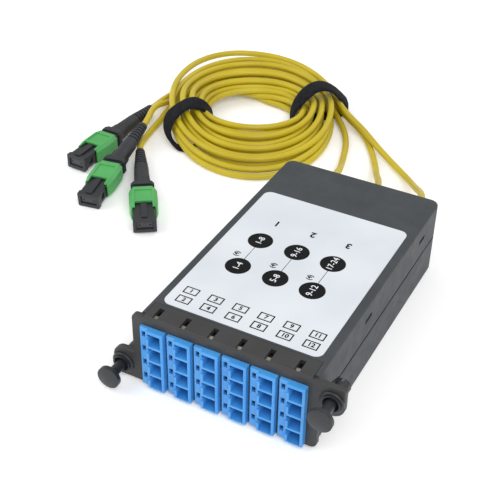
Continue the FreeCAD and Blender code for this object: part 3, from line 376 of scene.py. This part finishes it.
def settle(routes):
    """Push the control points gently aside until the cables rest beside each other and on the floor."""
    starts = np.cumsum([0] + [len(r) for r in routes])
    start = np.concatenate([np.array(r, float) for r in routes])
    blocks = [spline_weights(len(r)) for r in routes]
    weights = np.zeros((sum(len(b) for b in blocks), len(start)))
    cable = np.concatenate([np.full(len(b), i) for i, b in enumerate(blocks)])
    row = 0
    for block, first in zip(blocks, starts):
        weights[row:row + len(block), first:first + block.shape[1]] = block
        row += len(block)
    order = np.arange(len(cable))
    neighbour = (cable[:, None] == cable[None]) & (np.abs(order[:, None] - order[None]) < SAMPLES * NEAR)
    free = np.ones((len(start), 1))
    for (head, tail), a, b in zip(HELD, starts, starts[1:]):
        free[a:a + head] = free[b - tail:b] = 0
    share = weights.sum(0)[:, None]
    move = np.zeros_like(start)
    for turn in range(ROUNDS):
        places = weights @ (start + move)
        if turn % LOOK == 0:
            gap = ((places[:, None] - places[None]) ** 2).sum(2)
            one, other = np.nonzero(np.triu((gap < (APART + REACH) ** 2) & ~neighbour, 1))
        away = places[one] - places[other]
        distance = np.linalg.norm(away, axis=1) + 1e-9
        lack = np.clip(APART - distance, 0, None)
        push = away / distance[:, None] * lack[:, None] * 0.5
        force, touching = np.zeros_like(places), np.zeros(len(places))
        for index, sign in ((one, 1), (other, -1)):
            np.add.at(force, index, sign * push)
            np.add.at(touching, index, lack > 0)
        force /= np.maximum(1, touching * CROWD)[:, None]
        force[:, 2] += np.clip(FLOOR_Z - places[:, 2], 0, None)
        move += free * (weights.T @ force) / share * GAIN
        for a, b in zip(starts, starts[1:]):
            move[a + 1:b - 1] += EASE * (move[a:b - 2] - 2 * move[a + 1:b - 1] + move[a + 2:b])
        move *= free
        move[:, 2] += free[:, 0] * np.clip(FLOOR_Z - start[:, 2] - move[:, 2], 0, None)
    return [(start + move)[a:b].tolist() for a, b in zip(starts, starts[1:])]


def cable_curve(name, points):
    """Round NURBS curve with these control points, in mm."""
    curve = bpy.data.curves.new(name, "CURVE")
    curve.dimensions = "3D"
    curve.bevel_depth = CABLE_D / 2 * MM
    curve.bevel_resolution = 4
    curve.resolution_u = 6
    curve.use_fill_caps = True
    spline = curve.splines.new("NURBS")
    spline.points.add(len(points) - 1)
    for point, place in zip(spline.points, points):
        point.co = (*(v * MM for v in place), 1.0)
    spline.order_u = 3
    spline.use_endpoint_u = True
    return paint(new_object(name, curve), JACKET)


def make_cables():
    for cable, points in enumerate(settle([cable_points(i) for i in range(3)])):
        obj = cable_curve(f"cable_{cable + 1}", points)
        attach(obj, ROOT)
        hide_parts(f"cable_lead_{cable + 1}", "cable_coil", f"cable_tail_{cable + 1}")


make_cables()


# ---------------------------------------------------------------- straps
# Both edges of each strap, (r, d, z) in the coil's axes: the far one and the near one.
STRAPS = {
    "left": (((-21.0, -5.5, 3.2), (-20.6, -12.5, 3.0)), ((-21.3, -7.2, 7.4), (-21.6, -14.5, 7.0)),
             ((-22.6, -10.0, 11.5), (-23.8, -17.4, 10.8)), ((-25.0, -11.0, 14.3), (-26.5, -19.4, 13.4)),
             ((-29.0, -10.5, 15.5), (-29.8, -20.8, 14.7)), ((-33.0, -12.1, 15.5), (-32.6, -22.6, 14.8)),
             ((-37.0, -15.0, 14.5), (-35.6, -25.2, 13.4)), ((-40.4, -16.6, 12.6), (-37.9, -27.0, 11.4)),
             ((-42.8, -18.4, 10.2), (-39.2, -28.6, 9.0)), ((-43.8, -22.0, 7.6), (-39.7, -30.4, 6.6)),
             ((-43.2, -26.4, 5.4), (-38.8, -32.4, 4.4)), ((-41.4, -30.4, 3.5), (-36.8, -33.6, 2.6)),
             ((-38.8, -34.2, 2.1), (-34.2, -33.0, 1.5)), ((-35.2, -37.4, 0.95), (-31.0, -31.8, 0.8)),
             ((-30.4, -36.4, 0.7), (-26.4, -29.0, 0.7)), ((-26.6, -28.6, 0.7), (-21.8, -22.6, 0.7)),
             ((-24.2, -17.0, 0.8), (-19.6, -19.6, 0.9)), ((-21.8, -8.0, 1.5), (-19.8, -14.4, 1.6))),
    "right": (((18.6, -3.2, 3.5), (19.0, -11.9, 3.0)), ((19.2, -2.4, 8.0), (20.4, -11.4, 7.6)),
              ((21.2, -1.0, 12.0), (23.4, -10.8, 11.6)), ((24.4, 1.4, 15.0), (27.2, -8.9, 14.8)),
              ((28.3, 4.1, 16.5), (30.3, -6.2, 16.3)), ((31.9, 5.4, 17.0), (33.8, -4.9, 16.8)),
              ((35.6, 5.9, 16.4), (37.2, -3.7, 15.8)), ((38.9, 6.2, 14.6), (39.8, -2.7, 13.9)),
              ((42.2, 6.6, 11.8), (42.1, -2.0, 11.3)), ((45.0, 7.3, 8.8), (44.4, -0.7, 8.4)),
              ((47.0, 8.2, 5.6), (46.4, 0.2, 5.2)), ((47.4, 8.6, 2.1), (46.8, 0.4, 1.9)),
              ((44.0, 7.4, 0.8), (43.8, -1.4, 0.75)), ((38.0, 5.0, 0.7), (38.2, -4.0, 0.7)),
              ((30.0, 2.0, 0.7), (30.6, -6.8, 0.7)), ((22.5, -1.5, 0.8), (23.3, -10.4, 0.8)),
              ((19.2, -3.1, 1.5), (20.0, -11.6, 1.4))),
}
STRAP_T = 1.35
STRAP_STEPS = 5                          # rings between two rows of the table
STRAP_ACROSS = 11                        # vertices across the band, on each face
STRAP_CROWN = 0.18                       # the middle of the outer face stands this much higher
STRAP_SWELL = 0.3 * 0.16                 # and is uneven by this much
STRAP_WAVES = (0.9, 1.3, 0.37)           # radians of its waves: a ring, middle to edge, and slower a ring
STRAP_THIN = 0.75                        # share of the thickness that the edges lose
STRAP_EDGE = 7                           # how near the edge they lose it: higher is nearer


def smooth_loop(points, steps):
    """Closed Catmull-Rom curve through the points."""
    n = len(points)
    places = []
    for i in range(n):
        p0, p1, p2, p3 = (Vector(points[(i + k - 1) % n]) for k in range(4))
        for k in range(steps):
            t = k / steps
            places.append(0.5 * (2 * p1 + (p2 - p0) * t + (2 * p0 - 5 * p1 + 4 * p2 - p3) * t ** 2
                                 + (3 * p1 - p0 - 3 * p2 + p3) * t ** 3))
    return places


def make_strap(side):
    """Hook-and-loop strap: a soft band between its two edges, a little crowned, with worn round edges."""
    far, near = (smooth_loop([coil_point(*pair[e]) for pair in STRAPS[side]], STRAP_STEPS) for e in (0, 1))
    count = len(far)
    middle = [(a + b) / 2 for a, b in zip(far, near)]
    verts, faces = [], []
    ringwise, edgewise, slow = STRAP_WAVES
    for i in range(count):
        forward = (middle[(i + 1) % count] - middle[i - 1]).normalized()
        sideways = near[i] - far[i]
        out = sideways.cross(forward).normalized()
        top, under = [], []
        for j in range(STRAP_ACROSS):
            u = j / (STRAP_ACROSS - 1) * 2 - 1
            place = middle[i] + sideways * (u / 2)
            swell = STRAP_SWELL * math.sin(ringwise * i + edgewise * u) * math.sin(slow * i)
            half = STRAP_T / 2 * (1 - abs(u) ** STRAP_EDGE * STRAP_THIN)
            top.append(place + out * (half + STRAP_CROWN * (1 - u * u) + swell))
            under.append(place - out * half)
        verts += [v * MM for v in top + under[::-1]]
    ring = 2 * STRAP_ACROSS
    for i in range(count):
        a, b = i * ring, (i + 1) % count * ring
        faces += [(a + j, a + (j + 1) % ring, b + (j + 1) % ring, b + j) for j in range(ring)]
    obj = mesh_piece(f"strap_{side}", verts, faces, STRAP, True)
    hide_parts(f"coil_wrap_{side}")


for side in STRAPS:
    make_strap(side)


# ---------------------------------------------------------------- print on the label
LABEL_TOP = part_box("label_sheet")[1][2] / MM
INK_T = 0.03                             # thickness of the printed ink
INK_IN = 0.02                            # how far it reaches into the label
INK_LINE = 0.46                          # line around a box
CAP = 0.73                               # height of a digit as a share of the font's size
DISC_XS = (-15.6, -0.7, 13.65)
DISC_YS = (-18.9, -1.4)
DISC_R = 4.7
DISC_SIDES = 64
DISC_LINE = 0.2                          # line that joins two discs, and how much longer it is than their gap
BOX_XS = (-22.7, -13.07, -3.46, 6.17, 15.8, 25.35)
BOX_YS = (-39.35, -44.6)
BOX_SIZE = (5.4, 3.75)
HEAD_AT = (0.6, 11.4)                    # place of the number over a column of discs, from the column's x
COUNT_AT = (-4.0, -12.5)                 # and of the count beside its line
RANGES = (("1-4", "5-8", "9-12"), ("1-8", "9-16", "17-24"))    # in the discs, by row
BOX_TEXT, HEAD_TEXT, COUNT_TEXT, DISC_TEXT = 1.9, 3.2, 1.9, 2.5    # heights of the digits
BOLD, DISC_BOLD = 0.045, 0.008           # how much the strokes are widened, as a share of the height


def slab(outline, hole=()):
    """Thin flat print: vertices and faces of an outline in mm, with a hole of as many points if given."""
    n = len(outline)
    verts = [(x * MM, y * MM, z * MM) for z in (LABEL_TOP - INK_IN, LABEL_TOP + INK_T)
             for x, y in (*outline, *hole)]
    if not hole:
        return verts, [tuple(range(n - 1, -1, -1)), tuple(range(n, 2 * n)),
                       *((k, (k + 1) % n, n + (k + 1) % n, n + k) for k in range(n))]
    faces = []
    for k in range(n):
        m = (k + 1) % n
        faces += [(2 * n + k, 2 * n + m, 3 * n + m, 3 * n + k), (k, n + k, n + m, m),
                  (k, m, 2 * n + m, 2 * n + k), (n + k, 3 * n + k, 3 * n + m, n + m)]
    return verts, faces


def rectangle(x, y, w, h):
    return [(x - w / 2, y - h / 2), (x + w / 2, y - h / 2), (x + w / 2, y + h / 2), (x - w / 2, y + h / 2)]


def disc(x, y):
    turns = [k * math.tau / DISC_SIDES for k in range(DISC_SIDES)]
    return [(x + DISC_R * math.cos(turn), y + DISC_R * math.sin(turn)) for turn in turns]


def join_slabs(name, slabs, material):
    """One piece of print from several slabs."""
    verts, faces = [], []
    for part_verts, part_faces in slabs:
        faces += [tuple(len(verts) + k for k in face) for face in part_faces]
        verts += part_verts
    return mesh_piece(name, verts, faces, material, False)


def numbers(name, items, material, level, bold):
    """Plain numbers as thin print, half of it above level. Items are text, x, y, height in mm and degrees."""
    joined = bmesh.new()
    for text, x, y, height, turn in items:
        curve = bpy.data.curves.new("text", "FONT")
        curve.body = text
        curve.size = height / CAP * MM
        curve.align_x, curve.align_y = "CENTER", "CENTER"
        curve.offset = bold * height * MM
        curve.extrude = INK_T / 2 * MM
        curve.resolution_u = 3
        source = new_object("text", curve)
        bpy.context.view_layer.update()
        mesh = bpy.data.meshes.new_from_object(source.evaluated_get(bpy.context.evaluated_depsgraph_get()))
        mesh.transform(Matrix.Translation((x * MM, y * MM, level * MM))
                       @ Matrix.Rotation(math.radians(turn), 4, "Z"))
        joined.from_mesh(mesh)
        bpy.data.objects.remove(source)
        bpy.data.curves.remove(curve)
        bpy.data.meshes.remove(mesh)
    bmesh.ops.remove_doubles(joined, verts=joined.verts, dist=1e-7)
    mesh = bpy.data.meshes.new(name)
    joined.to_mesh(mesh)
    joined.free()
    obj = paint(new_object(name, mesh), material)
    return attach(obj, ROOT)


def make_label_print():
    slabs = []
    low, high = DISC_YS
    for x in DISC_XS:
        slabs += [slab(disc(x, y)) for y in DISC_YS]
        slabs.append(slab(rectangle(x + DISC_LINE / 2, sum(DISC_YS) / 2,
                                    DISC_LINE, high - low - 2 * DISC_R + DISC_LINE)))
    w, h = BOX_SIZE
    for x in BOX_XS:
        for y in BOX_YS:
            slabs.append(slab(rectangle(x, y, w, h), rectangle(x, y, w - 2 * INK_LINE, h - 2 * INK_LINE)))
    join_slabs("label_marks", slabs, INK)
    dark = [(str(2 * i + j + 1), x, y, BOX_TEXT, 0)
            for i, x in enumerate(BOX_XS) for j, y in enumerate(BOX_YS)]
    dark += [(str(i + 1), x + HEAD_AT[0], HEAD_AT[1], HEAD_TEXT, 180) for i, x in enumerate(DISC_XS)]
    dark += [("(4)", x + COUNT_AT[0], COUNT_AT[1], COUNT_TEXT, 90) for x in DISC_XS]
    numbers("label_numbers", dark, INK, LABEL_TOP + INK_T / 2, BOLD)
    white = [(text, x, y, DISC_TEXT, 90) for texts, y in ((RANGES[1], high), (RANGES[0], low))
             for text, x in zip(texts, DISC_XS)]
    numbers("label_disc_numbers", white, WHITE_INK, LABEL_TOP + INK_T * 1.5, DISC_BOLD)


make_label_print()


# ---------------------------------------------------------------- stage, light and camera
def make_stage():
    """Pale floor, and even light from all sides."""
    side = 6.0
    mesh = bpy.data.meshes.new("floor")
    mesh.from_pydata([(x, y, 0) for x, y in rectangle(0, 0, side, side)], [], [(0, 1, 2, 3)])
    floor = new_object("floor", mesh)
    paint(floor, Shader("floor_pale").set(Base_Color=(0.97, 0.97, 0.97, 1), Roughness=0.9,
                                          Emission_Color=(1, 1, 1, 1), Emission_Strength=0.12))
    world = bpy.data.worlds.new("studio")
    world.use_nodes = True
    background = world.node_tree.nodes["Background"]
    background.inputs["Color"].default_value = (1, 1, 1, 1)
    background.inputs["Strength"].default_value = 0.66
    bpy.context.scene.world = world


def area_light(name, place, target, size, power):
    """Soft rectangular light that faces the target. Places and size in metres, power in watts."""
    data = bpy.data.lights.new(name, "AREA")
    data.shape = "RECTANGLE"
    data.size, data.size_y = size
    data.energy = power
    light = new_object(name, data)
    light.location = place
    light.rotation_mode = "QUATERNION"
    light.rotation_quaternion = (Vector(target) - Vector(place)).to_track_quat("-Z", "Y")


def make_camera():
    """Camera: its place, and its axes as rows."""
    data = bpy.data.cameras.new("camera")
    camera = new_object("camera", data)
    data.lens = 73.9
    data.sensor_width = 36.0
    data.clip_start, data.clip_end = 0.01, 20
    right = Vector((0.88390, 0.46741, 0.01556))
    up = Vector((-0.28836, 0.51851, 0.80499))
    back = Vector((0.36819, -0.71602, 0.59309))
    place = Vector((121.385, -276.1, 252.898)) * MM
    camera.matrix_world = Matrix((right, up, back)).transposed().to_4x4()
    camera.matrix_world.translation = place
    bpy.context.scene.camera = camera


make_stage()
area_light("key", (0.45, -0.5, 0.75), (0, 0, 0.02), (0.6, 0.6), 5.2)
area_light("fill", (-0.7, -0.3, 0.5), (-0.05, 0.05, 0), (0.8, 0.8), 2.6)
area_light("rim", (0.2, 0.9, 0.6), (0, 0.1, 0), (0.8, 0.5), 1.2)
make_camera()
bpy.context.scene.view_settings.view_transform = "Standard"
